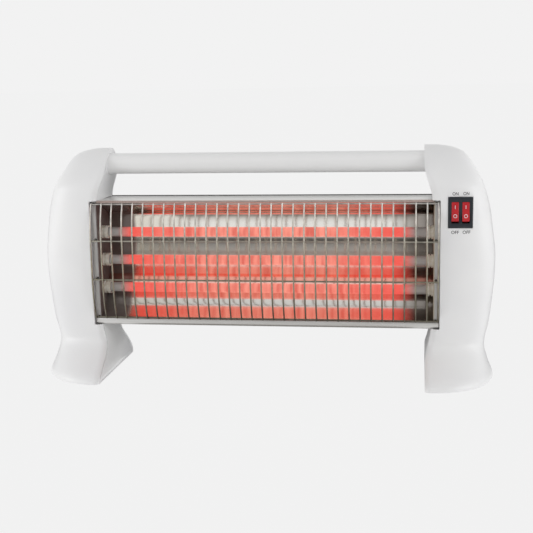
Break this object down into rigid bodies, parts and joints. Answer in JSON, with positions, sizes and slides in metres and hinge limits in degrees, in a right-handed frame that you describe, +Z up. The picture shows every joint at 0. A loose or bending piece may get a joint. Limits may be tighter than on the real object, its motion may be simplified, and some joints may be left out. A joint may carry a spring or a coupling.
{
  "type": "electric bar heater",
  "caption": "Free-standing electric bar heater: quartz tubes in a polished trough behind a wire guard, between two moulded legs joined by a carrying handle.",
  "frame": {"origin": "on the floor, under the middle of the heater", "axes": "+Z up, +X towards the leg with the switches (the viewer's right), -Y towards the viewer"},
  "size_m": [0.46, 0.1324, 0.232],
  "materials": {
    "white_plastic": "injection-moulded white plastic, satin gloss",
    "white_enamel": "white powder-coated steel tube",
    "rubber_pad": "matte rubber",
    "zinc_screw": "zinc-plated steel",
    "housing_sheet": "galvanised sheet steel",
    "polished_reflector": "polished aluminium sheet",
    "guard_wire": "nickel-plated steel wire",
    "quartz_glass": "clear quartz tube",
    "glowing_coil": "heating alloy coil, glowing red",
    "ceramic": "unglazed steatite ceramic",
    "brass": "plain brass",
    "black_plastic": "moulded black plastic",
    "grey_plastic": "moulded grey plastic",
    "red_plastic": "moulded red plastic",
    "ivory_plastic": "moulded ivory plastic",
    "lead_sleeve": "silicone-sleeved lead"
  },
  "bodies": {
    "heater": {"left_outer_shell": "white_plastic", "right_outer_shell": "white_plastic", "left_inner_cover": "white_plastic", "right_inner_cover": "white_plastic", "left_foot_pads": "rubber_pad", "right_foot_pads": "rubber_pad", "left_leg_screws": "zinc_screw", "right_leg_screws": "zinc_screw", "handle_tube": "white_enamel", "handle_end_plugs": "white_plastic", "handle_screws": "zinc_screw", "back_housing": "housing_sheet", "reflector": "polished_reflector", "left_end_plate": "housing_sheet", "right_end_plate": "housing_sheet", "wire_guard": "guard_wire", "quartz_tube_top": "quartz_glass", "quartz_tube_middle": "quartz_glass", "quartz_tube_bottom": "quartz_glass", "heating_coil_top": "glowing_coil", "heating_coil_middle": "glowing_coil", "heating_coil_bottom": "glowing_coil", "left_cap_top": "ceramic", "left_cap_middle": "ceramic", "left_cap_bottom": "ceramic", "right_cap_top": "ceramic", "right_cap_middle": "ceramic", "right_cap_bottom": "ceramic", "left_terminal_pins": "brass", "right_terminal_pins": "brass", "left_bus_bar": "brass", "switch_body": "black_plastic", "switch_terminals": "brass", "terminal_block": "ivory_plastic", "lead_wires": "lead_sleeve", "cord_gland": "black_plastic", "tip_switch_body": "black_plastic", "tip_spring": "zinc_screw"},
    "left_rocker": {"rocker_left": "red_plastic"},
    "right_rocker": {"rocker_right": "red_plastic"},
    "plunger": {"tip_plunger": "grey_plastic"}
  },
  "joints": [
    {"name": "rocker_left_tilt", "type": "hinge", "parent": "heater", "child": "left_rocker", "pos_m": [0.18945, -0.0201, 0.169], "axis": [1, 0, 0], "range_deg": [0, 20]},
    {"name": "rocker_right_tilt", "type": "hinge", "parent": "heater", "child": "right_rocker", "pos_m": [0.19955, -0.0201, 0.169], "axis": [1, 0, 0], "range_deg": [0, 20]},
    {"name": "tip_plunge", "type": "slide", "parent": "heater", "child": "plunger", "axis": [0, 0, -1], "range_m": [0, 0.004], "stiffness_N_per_m": 60, "springref_m": 0.006, "deforming": ["tip_spring"]}
  ]
}
